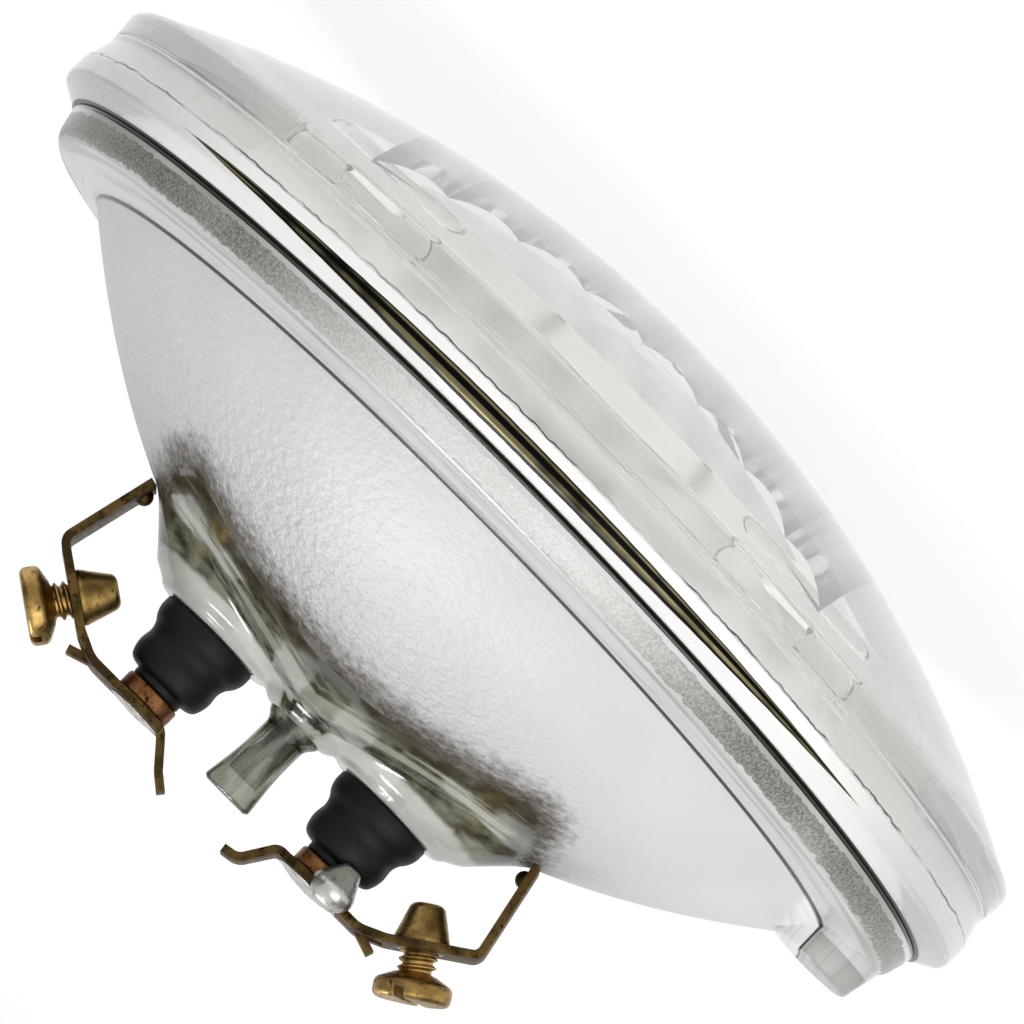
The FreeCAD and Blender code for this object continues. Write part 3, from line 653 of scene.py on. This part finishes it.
def bossRise(distance, size):
    # glass heaped round a ferrule: flat face, rounded crown, then a steeper side
    crown, crownDrop = size["bossCrown"]
    base, baseDrop = size["bossBase"]
    face = size["bossFace"]
    top = size["bossHeight"]
    if distance <= face:
        return top
    slope1 = crownDrop / (crown - face)
    slope2 = (baseDrop - crownDrop) / (base - crown)
    into = softStep(distance, face, face + 1.2)
    drop = slope1 * (distance - face) * into
    steeper = softStep(distance, crown - 1.0, crown + 1.0)
    drop += (slope2 - slope1) * max(distance - crown, 0) * steeper
    return top - drop


def bowlTop(x, y, size):
    # outer height of the bowl with its bosses and the mound, at a place in millimetres
    height = size["height"] - size["curve"] * (x * x + y * y)
    for side in (1, -1):
        distance = math.hypot(x - side * size["terminal"], y)
        if distance < 16:
            height = smoothMax(height, bossRise(distance, size), size["blend"])
    r = math.hypot(x, y)
    if r < size["moundBase"] + 2:
        low = size["height"] - 0.6
        rise = size["moundHeight"] - (size["moundHeight"] - low) * softStep(
            r, size["moundRadius"], size["moundBase"])
        height = smoothMax(height, rise, size["moundBlend"])
    return height


def makeBowl(skin, film):
    size = bowlSize
    bm = bmesh.new()
    innerTop = size["height"] - size["wall"]
    rings = [r * 0.4 for r in range(70)] + [28 + 1.1 * i for i in range(17)]
    outer = [(r, size["height"] - size["curve"] * r * r, 0) for r in rings]
    inner = [(size["seamInner"] * i / 36, innerTop - size["curve"] *
              (size["seamInner"] * i / 36) ** 2, 0) for i in range(36, -1, -1)]
    chain(bm, outer + [size["edge"], size["flange"], (*size["seam"], 0.15)] + inner)
    spinRound(bm, size["steps"])
    limit = size["edge"][0] * mm
    for vert in bm.verts:
        r = math.hypot(vert.co.x, vert.co.y)
        plain = (size["height"] - size["curve"] * (r / mm) ** 2) * mm
        if r < limit and abs(vert.co.z - plain) < 0.05 * mm:
            vert.co.z = bowlTop(vert.co.x / mm, vert.co.y / mm, size) * mm
    for face in bm.faces:
        centre = face.calc_center_median()
        r = math.hypot(centre.x, centre.y) / mm
        innerHeight = innerTop - size["curve"] * r * r
        isInner = centre.z / mm < innerHeight + 0.4 and r < size["seamInner"]
        face.material_index = 1 if isInner else 0
    bowl = makePiece("bowlGlass", bm, [skin, film])
    combine(bowl, [makeStud(skin)], "UNION")
    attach(bowl, "lamp")
    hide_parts("reflector")


def makeStud(skin):
    size = studSize
    bm = bmesh.new()
    chain(bm, [(0, size["base"], 0), (size["baseRadius"], size["base"], 0),
               (size["radius"], size["height"], size["edgeRound"]), (0, size["height"], 0)])
    spinRound(bm, size["steps"])
    bmesh.ops.translate(bm, verts=bm.verts[:], vec=(-size["offset"] * mm, 0, 0))
    return makePiece("stud", bm, [skin])


makeBowl(silveredGlass(), aluminiumFilm())
print("stage: bowl")

# exhaust tube

tubeSize = {
    "base": 49.32, "length": 8.83, "footRadius": 2.95, "radius": 2.2, "footHeight": 1.7,
    "pinchStart": 3.4, "tipWide": 2.65, "tipDeep": 1.15, "tipRound": 0.35,
    "boreRadius": 1.05, "boreStart": 0.25, "boreEnd": 6.6, "rings": 36, "steps": 72,
    "smoke": (51.5, 56.5)}              # heights over which the smoke inside it thins out


def drawnGlass():
    # soft glass tube, melted shut and nipped flat: grey-green, smoky streaks inside near its foot
    material, tree, place = newMaterial("drawnGlassTube")
    drawn = addNode(tree, "Mapping", place, None, None, (1, 1, 0.22))
    streaks = addNode(tree, "TexNoise", drawn, blotch(2 / 3), 3)
    height = addNode(tree, "SeparateXYZ", place).outputs["Z"]
    start, end = tubeSize["smoke"]
    foot = addNode(tree, "MapRange LINEAR", height, start * mm, end * mm, 1.0, 0.45)
    dark = addNode(tree, "MapRange LINEAR", streaks, 0.38, 0.56)
    smoke = addNode(tree, "Math MULTIPLY", dark, foot)
    setShader(tree, {
        "Base Color": addNode(tree, "Mix RGBA", smoke, linear("#b3b5a6"), linear("#3f3d2d")),
        "Transmission Weight": 0.7, "Roughness": 0.06, "IOR": glassIor})
    return material


def tubeShell(bm, size, start, end, wide):
    # rings drawn upwards from a circle, each fitted to the tube's width and depth at its height
    made = bmesh.ops.create_circle(bm, radius=mm, segments=size["steps"])
    ring = made["verts"]
    shape = wide(start)
    bmesh.ops.scale(bm, vec=(shape[0], shape[1], 1), verts=ring)
    bmesh.ops.translate(bm, vec=(0, 0, (size["base"] + start) * mm), verts=ring)
    first = set(ring)
    edges = [e for e in bm.edges if all(v in first for v in e.verts)]
    bmesh.ops.contextual_create(bm, geom=edges)
    last = shape
    for i in range(1, size["rings"] + 1):
        h = start + (end - start) * i / size["rings"]
        grown = bmesh.ops.extrude_edge_only(bm, edges=edges)["geom"]
        ring = [g for g in grown if isinstance(g, bmesh.types.BMVert)]
        edges = [g for g in grown if isinstance(g, bmesh.types.BMEdge)]
        shape = wide(h)
        bmesh.ops.scale(bm, vec=(shape[0] / last[0], shape[1] / last[1], 1), verts=ring)
        bmesh.ops.translate(bm, vec=(0, 0, (end - start) / size["rings"] * mm), verts=ring)
        last = shape
    bmesh.ops.contextual_create(bm, geom=edges)


def makeTube():
    size = tubeSize

    def outside(h):
        foot = 1 - softStep(h, 0, size["footHeight"])
        pinch = softStep(h, size["pinchStart"], size["length"] + 1.5)
        closing = max(h - (size["length"] - size["tipRound"]), 0) / size["tipRound"]
        rounding = size["tipRound"] * (1 - math.sqrt(max(1 - closing ** 2, 0)))
        around = size["radius"] + (size["footRadius"] - size["radius"]) * foot * foot
        return (around + (size["tipWide"] + 0.12 - size["radius"]) * pinch - rounding,
                around + (size["tipDeep"] - 0.12 - size["radius"]) * pinch - rounding)

    def bore(h):
        pinch = softStep(h, size["pinchStart"] - 1, size["boreEnd"])
        return (size["boreRadius"] * (1 + 0.35 * pinch),
                size["boreRadius"] * (1 - pinch) + 0.06)

    bm = bmesh.new()
    tubeShell(bm, size, 0, size["length"], outside)
    bmesh.ops.recalc_face_normals(bm, faces=bm.faces[:])
    inside = bmesh.new()
    tubeShell(inside, size, size["boreStart"], size["boreEnd"], bore)
    bmesh.ops.recalc_face_normals(inside, faces=inside.faces[:])
    bmesh.ops.reverse_faces(inside, faces=inside.faces[:])
    hollow = bpy.data.meshes.new("hollow")
    inside.to_mesh(hollow)
    inside.free()
    bm.from_mesh(hollow)
    bpy.data.meshes.remove(hollow)
    tube = makePiece("exhaustTube", bm, [drawnGlass()], 50)
    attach(tube, "lamp")
    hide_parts("exhaust_tube")


makeTube()
print("stage: exhaust tube")

# metals


def blackOxide():
    # drawn steel cup, black oxide and fired: matt black with a faint cold sheen
    material, tree, place = newMaterial("blackOxideSteel")
    scale = addNode(tree, "TexNoise", place, blotch(2 / 3), 3)
    setShader(tree, {
        "Base Color": addNode(tree, "Mix RGBA", scale, linear("#020202"), linear("#0a0c0d")),
        "Roughness": addNode(tree, "MapRange LINEAR", scale, 0.0, 1.0, 0.42, 0.62),
        "Specular IOR Level": 0.28})
    return material


def agedMetal(name, bright, dull, dark, spot, darkFrom, rough):
    # bare metal gone brown: clean on some spots, dull over most, dark stains in between
    material, tree, place = newMaterial(name)
    cloud = addNode(tree, "TexNoise", place, 0.35 / (spot * mm), 4)
    fine = addNode(tree, "TexNoise", place, 1 / (spot * mm), 5, 0.65)
    clean = addNode(tree, "MapRange LINEAR", cloud, 0.42, 0.6)
    stained = addNode(tree, "MapRange LINEAR", fine, darkFrom, darkFrom + 0.14)
    base = addNode(tree, "Mix RGBA", clean, linear(dull), linear(bright))
    setShader(tree, {
        "Base Color": addNode(tree, "Mix RGBA", stained, base, linear(dark)), "Metallic": 1.0,
        "Roughness": addNode(tree, "MapRange LINEAR", fine, 0.3, 0.7, rough, rough + 0.22),
        "Normal": addNode(tree, "Bump", 0.35, 0.00006, None, fine)})
    return material


def dress(node, material):
    nodes[node].data.materials.clear()
    nodes[node].data.materials.append(material)


oxide = blackOxide()
copper = agedMetal("tarnishedCopper", "#86603d", "#71492c", "#35200f", 0.5, 0.52, 0.3)
stripBrass = agedMetal("rolledBrassStrip", "#66522f", "#3f321d", "#20180d", 0.8, 0.54, 0.42)
turnedBrass = agedMetal("turnedBrass", "#c09f60", "#8c7140", "#382b1a", 0.8, 0.56, 0.26)
nickel = agedMetal("drawnNickelWire", "#a7a39c", "#8d8983", "#5a5650", 0.4, 0.58, 0.25)
tungsten = agedMetal("tungstenWire", "#8a8784", "#6c6a67", "#3e3d3c", 0.3, 0.55, 0.35)

for side in ("right", "left"):
    dress(side + "_eyelet", copper)
    dress(side + "_lead_post", nickel)
dress("filament", tungsten)


ferruleSize = {                 # corners are radius, height above the base and rounding
    "offset": 11.1, "base": 48.852, "bore": 0.75, "wall": 0.55, "flange": (5.2, 1.7, 0.75),
    "groove": (4.12, 3.0, 0.75), "body": (4.45, 5.2, 0.95), "shoulder": (3.7, 6.5, 0.6),
    "nose": (2.65, 7.25, 0.25), "footRound": 0.35, "noseRoot": 0.25, "ceilingRound": 0.3,
    "steps": 96}


def makeFerrule(side):
    # drawn cup with a flange, a waist, a fuller body and a nose, all with soft corners
    size = ferruleSize
    bore, wall = size["bore"], size["wall"]
    inner = size["groove"][0] - wall
    ceiling = size["shoulder"][1] - wall
    nose = size["nose"]
    bm = bmesh.new()
    chain(bm, [(bore, nose[1], 0), (bore, ceiling, 0), (inner, ceiling, size["ceilingRound"]),
               (inner, 0, 0), (size["flange"][0], 0, size["footRound"]), size["flange"],
               size["groove"], size["body"], size["shoulder"],
               (nose[0], size["shoulder"][1], size["noseRoot"]), nose, (bore, nose[1], 0)])
    spinRound(bm, size["steps"])
    sign = 1 if side == "right" else -1
    bmesh.ops.translate(bm, verts=bm.verts[:], vec=(sign * size["offset"] * mm, 0,
                                                    size["base"] * mm))
    ferrule = makePiece(side + "Ferrule", bm, [oxide])
    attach(ferrule, "lamp")
    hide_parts(side + "_ferrule")


makeFerrule("right")
makeFerrule("left")
print("stage: ferrules")


def tinSolder():
    # tin-lead solder that froze bright: smooth skin, tiny pits, a little dross
    material, tree, place = newMaterial("tinLeadSolder")
    skin = addNode(tree, "TexNoise", place, blotch(0.545), 4)
    dross = addNode(tree, "MapRange LINEAR", skin, 0.52, 0.7)
    setShader(tree, {
        "Base Color": addNode(tree, "Mix RGBA", dross, linear("#c9c8c4"), linear("#7d766b")),
        "Metallic": 1.0,
        "Roughness": addNode(tree, "MapRange LINEAR", skin, 0.0, 1.0, 0.18, 0.5),
        "Normal": addNode(tree, "Bump", 0.5, 0.00012, None, skin)})
    return material


solder = tinSolder()

# clips, solder, screws and their bushes

clipSize = {"edge": 0.13, "edgeSteps": 3, "sharp": 30}     # the stamped strip's broken edges
solderSize = {"grain": 0.12, "passes": {"right": 2, "left": 6}}    # the left one is a big drop


def makeClip(side):
    clip = nodeCopy(side + "Clip", side + "_clip", clipSize["edge"], clipSize["sharp"],
                    clipSize["edgeSteps"])
    clip.data.materials.append(stripBrass)
    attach(clip, "lamp")
    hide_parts(side + "_clip")


def makeSolder(side):
    # the CAD node's drop, remeshed and relaxed until it looks frozen from liquid
    drop = nodeCopy(side + "Solder", side + "_solder", 0)
    drop.data.materials.append(solder)
    remesh = drop.modifiers.new("remesh", "REMESH")
    remesh.mode = "VOXEL"
    remesh.voxel_size = solderSize["grain"] * mm
    soften = drop.modifiers.new("soften", "SMOOTH")
    soften.factor = 0.5
    soften.iterations = solderSize["passes"][side]
    applyModifiers(drop, 180)
    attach(drop, "lamp")
    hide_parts(side + "_solder")


screwSize = {
    "point": (22.083, 55.256), "lean": 34.526,   # where the strip is pierced, and its tilt
    "strip": 0.8, "length": 3.9, "gap": {"right": 1.7, "left": 2.1}, "shank": 1.75,
    "root": 1.38, "pitch": 0.79, "flank": 0.42, "crest": 0.12, "threadSteps": 40,
    "head": 3.6, "cone": 0.8, "thickness": 1.7, "rounding": 0.62, "slotWidth": 0.95,
    "slotDepth": 1.0, "slotAngle": {"right": 25, "left": -70}, "steps": 72}
bushSize = {"spigot": 2.15, "radius": 2.55, "tip": 1.5, "length": 3.6, "land": 0.35,
            "tipRound": 0.55, "bore": 1.8, "boreDepth": 1.6, "noseBore": 1.0, "noseWall": 0.5,
            "proud": 0.02, "steps": 64}


def seatOnStrip(bm, side):
    # from a local upright axis to the pierced point of that side's strip
    sign = 1 if side == "right" else -1
    turn = Matrix.Rotation(math.radians(sign * screwSize["lean"]), 4, "Y")
    x, z = screwSize["point"]
    bm.transform(Matrix.Translation((sign * x * mm, 0, z * mm)) @ turn)


def makeScrew(side):
    size = screwSize
    seat = size["strip"] / 2 + size["gap"][side]
    edge = seat + size["cone"]
    top = edge + size["thickness"]
    bottom = seat - size["length"]
    bm = bmesh.new()
    chain(bm, [(0, bottom, 0), (size["root"], bottom, 0.2), (size["root"], seat - 0.25, 0),
               (size["shank"], seat - 0.05, 0), (size["shank"] + 0.25, seat, 0),
               (size["head"], edge, 0.4), (size["head"], top, size["rounding"]), (0, top, 0)])
    spinRound(bm, size["steps"])
    screw = makePiece(side + "Screw", bm, [turnedBrass])
    slot = bmesh.new()
    bmesh.ops.create_cube(slot, size=1)
    bmesh.ops.scale(slot, vec=(3 * size["head"] * mm, size["slotWidth"] * mm,
                               2 * size["slotDepth"] * mm), verts=slot.verts[:])
    bmesh.ops.rotate(slot, verts=slot.verts[:],
                     matrix=Matrix.Rotation(math.radians(size["slotAngle"][side]), 3, "Z"))
    bmesh.ops.translate(slot, vec=(0, 0, top * mm), verts=slot.verts[:])
    combine(screw, [makePiece("slot", slot, [])], "DIFFERENCE")
    bm = bmesh.new()
    bm.from_mesh(screw.data)
    addThread(bm, bottom + 0.3, seat - 0.3)
    seatOnStrip(bm, side)
    bm.to_mesh(screw.data)
    bm.free()
    shadeSmooth(screw.data, sharpAngle)
    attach(screw, side + "_screw_body")
    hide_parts(side + "_screw")


def addThread(bm, start, end):
    # a right-hand ridge wound round the shank, rooted a little inside it
    size = screwSize
    half = size["pitch"] * size["flank"]
    inner = size["root"] - 0.08
    rim = [(inner, -half), (size["shank"], -size["crest"] / 2), (size["shank"], size["crest"] / 2),
           (inner, half)]
    verts = [bm.verts.new((r * mm, 0, (start + z) * mm)) for r, z in rim]
    face = bm.faces.new(verts)
    turns = (end - start) / size["pitch"]
    steps = int(turns * size["threadSteps"])
    wound = bmesh.ops.spin(bm, geom=[face], cent=(0, 0, 0), axis=(0, 0, 1),
                           dvec=(0, 0, (end - start) / steps * mm), angle=2 * math.pi * turns,
                           steps=steps)
    last = {f for f in wound["geom_last"] if isinstance(f, bmesh.types.BMFace)}
    edges = {e for f in last for e in f.edges} | set(face.edges)
    bmesh.ops.recalc_face_normals(bm, faces=list({f for e in edges for f in e.link_faces}))
    bmesh.ops.recalc_face_normals(bm, faces=bm.faces[:])


def makeBush(side):
    size = bushSize
    under = -screwSize["strip"] / 2
    tip = under - size["length"]
    rim = -under + size["proud"]
    ceiling = tip + size["noseWall"]
    bm = bmesh.new()
    chain(bm, [(size["bore"], rim, 0), (size["spigot"], rim, 0.06),
               (size["spigot"], under, 0), (size["radius"], under, 0.08),
               (size["radius"], under - size["land"], 0.1), (size["tip"], tip, size["tipRound"]),
               (0, tip, 0)])
    chain(bm, [(size["bore"], rim, 0), (size["bore"], under - size["boreDepth"], 0),
               (size["noseBore"], ceiling, 0), (0, ceiling, 0)])
    spinRound(bm, size["steps"])
    seatOnStrip(bm, side)
    bush = makePiece(side + "Bush", bm, [turnedBrass])
    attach(bush, "lamp")
    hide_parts(side + "_bush")


for side in ("right", "left"):
    makeClip(side)
    makeSolder(side)
    makeScrew(side)
    makeBush(side)
print("stage: terminals")

# floor, light and backdrop

studio = {
    "aim": (0, 0, 0.03), "worldDiffuse": 0.78, "floorSize": 12.0,       # metres
    "floorPaint": "#7f7f7f", "floorGlow": 0.85,
    "lamps": (("key", (-1.2, -1.7, 0.9), 2.2, 20.0),                    # place, width, watts
              ("fill", (1.6, -0.9, 1.2), 2.2, 1.0), ("top", (0.12, 0.45, 1.3), 0.34, 4.0))}


def makeWorld():
    # white to the eye and through glass; what lights the lamp is softer and darker on one side
    world = bpy.data.worlds.new("studio")
    bpy.context.scene.world = world
    world.use_nodes = True
    tree = world.node_tree
    tree.nodes.clear()
    rays = addNode(tree, "LightPath").outputs
    place = addNode(tree, "TexCoord").outputs["Generated"]
    up = addNode(tree, "SeparateXYZ", place).outputs
    aside = addNode(tree, "Math ABSOLUTE", up["X"])
    mirrored = addNode(tree, "MapRange SMOOTHSTEP", aside, 0.4, 0.9, 1.0, 0.25)
    right = addNode(tree, "MapRange SMOOTHSTEP", up["X"], 0.0, 0.8, 1.0, 0.4)
    overhead = addNode(tree, "MapRange SMOOTHSTEP", up["Z"], 0.3, 1.0, 1.0, 0.8)
    matt = addNode(tree, "Math MULTIPLY", right, overhead)
    light = addNode(tree, "Mix RGBA", rays["Is Glossy Ray"], matt, mirrored)
    soft = addNode(tree, "Background", light, studio["worldDiffuse"])
    plain = addNode(tree, "Background", (1, 1, 1, 1), 1.0)
    shown = addNode(tree, "Math MAXIMUM", rays["Is Camera Ray"], rays["Is Transmission Ray"])
    addNode(tree, "OutputWorld", addNode(tree, "MixShader", shown, soft, plain))


def makeFloor():
    # pale painted floor that keeps the lamp's shadow and is plain white in mirrors and glass
    bm = bmesh.new()
    bmesh.ops.create_grid(bm, x_segments=1, y_segments=1, size=studio["floorSize"] / 2)
    material, tree, place = newMaterial("paintedFloor")
    setShader(tree, {"Base Color": linear(studio["floorPaint"]), "Roughness": 0.9,
                     "Specular IOR Level": 0.0})
    rays = addNode(tree, "LightPath").outputs
    white = addNode(tree, "Emission", (1, 1, 1, 1), 1.0)
    shown = addNode(tree, "Math MAXIMUM", rays["Is Glossy Ray"], rays["Is Transmission Ray"])
    lift = addNode(tree, "Emission", (1, 1, 1, 1), studio["floorGlow"])
    lit = addNode(tree, "AddShader", tree.nodes["Principled BSDF"], lift)
    feed(tree, tree.nodes["Material Output"].inputs["Surface"],
         addNode(tree, "MixShader", shown, lit, white))
    floor = makePiece("floor", bm, [material])


def makeLamps():
    aim = Vector(studio["aim"])
    for name, place, size, power in studio["lamps"]:
        data = bpy.data.lights.new(name, "AREA")
        data.shape = "DISK"
        data.size = size
        data.energy = power
        lamp = bpy.data.objects.new(name, data)
        lamp.location = place
        lamp.rotation_euler = (aim - Vector(place)).to_track_quat("-Z", "Y").to_euler()
        bpy.context.scene.collection.objects.link(lamp)


makeWorld()
makeFloor()
makeLamps()
bpy.context.scene.view_settings.view_transform = "Standard"
print("stage: studio")
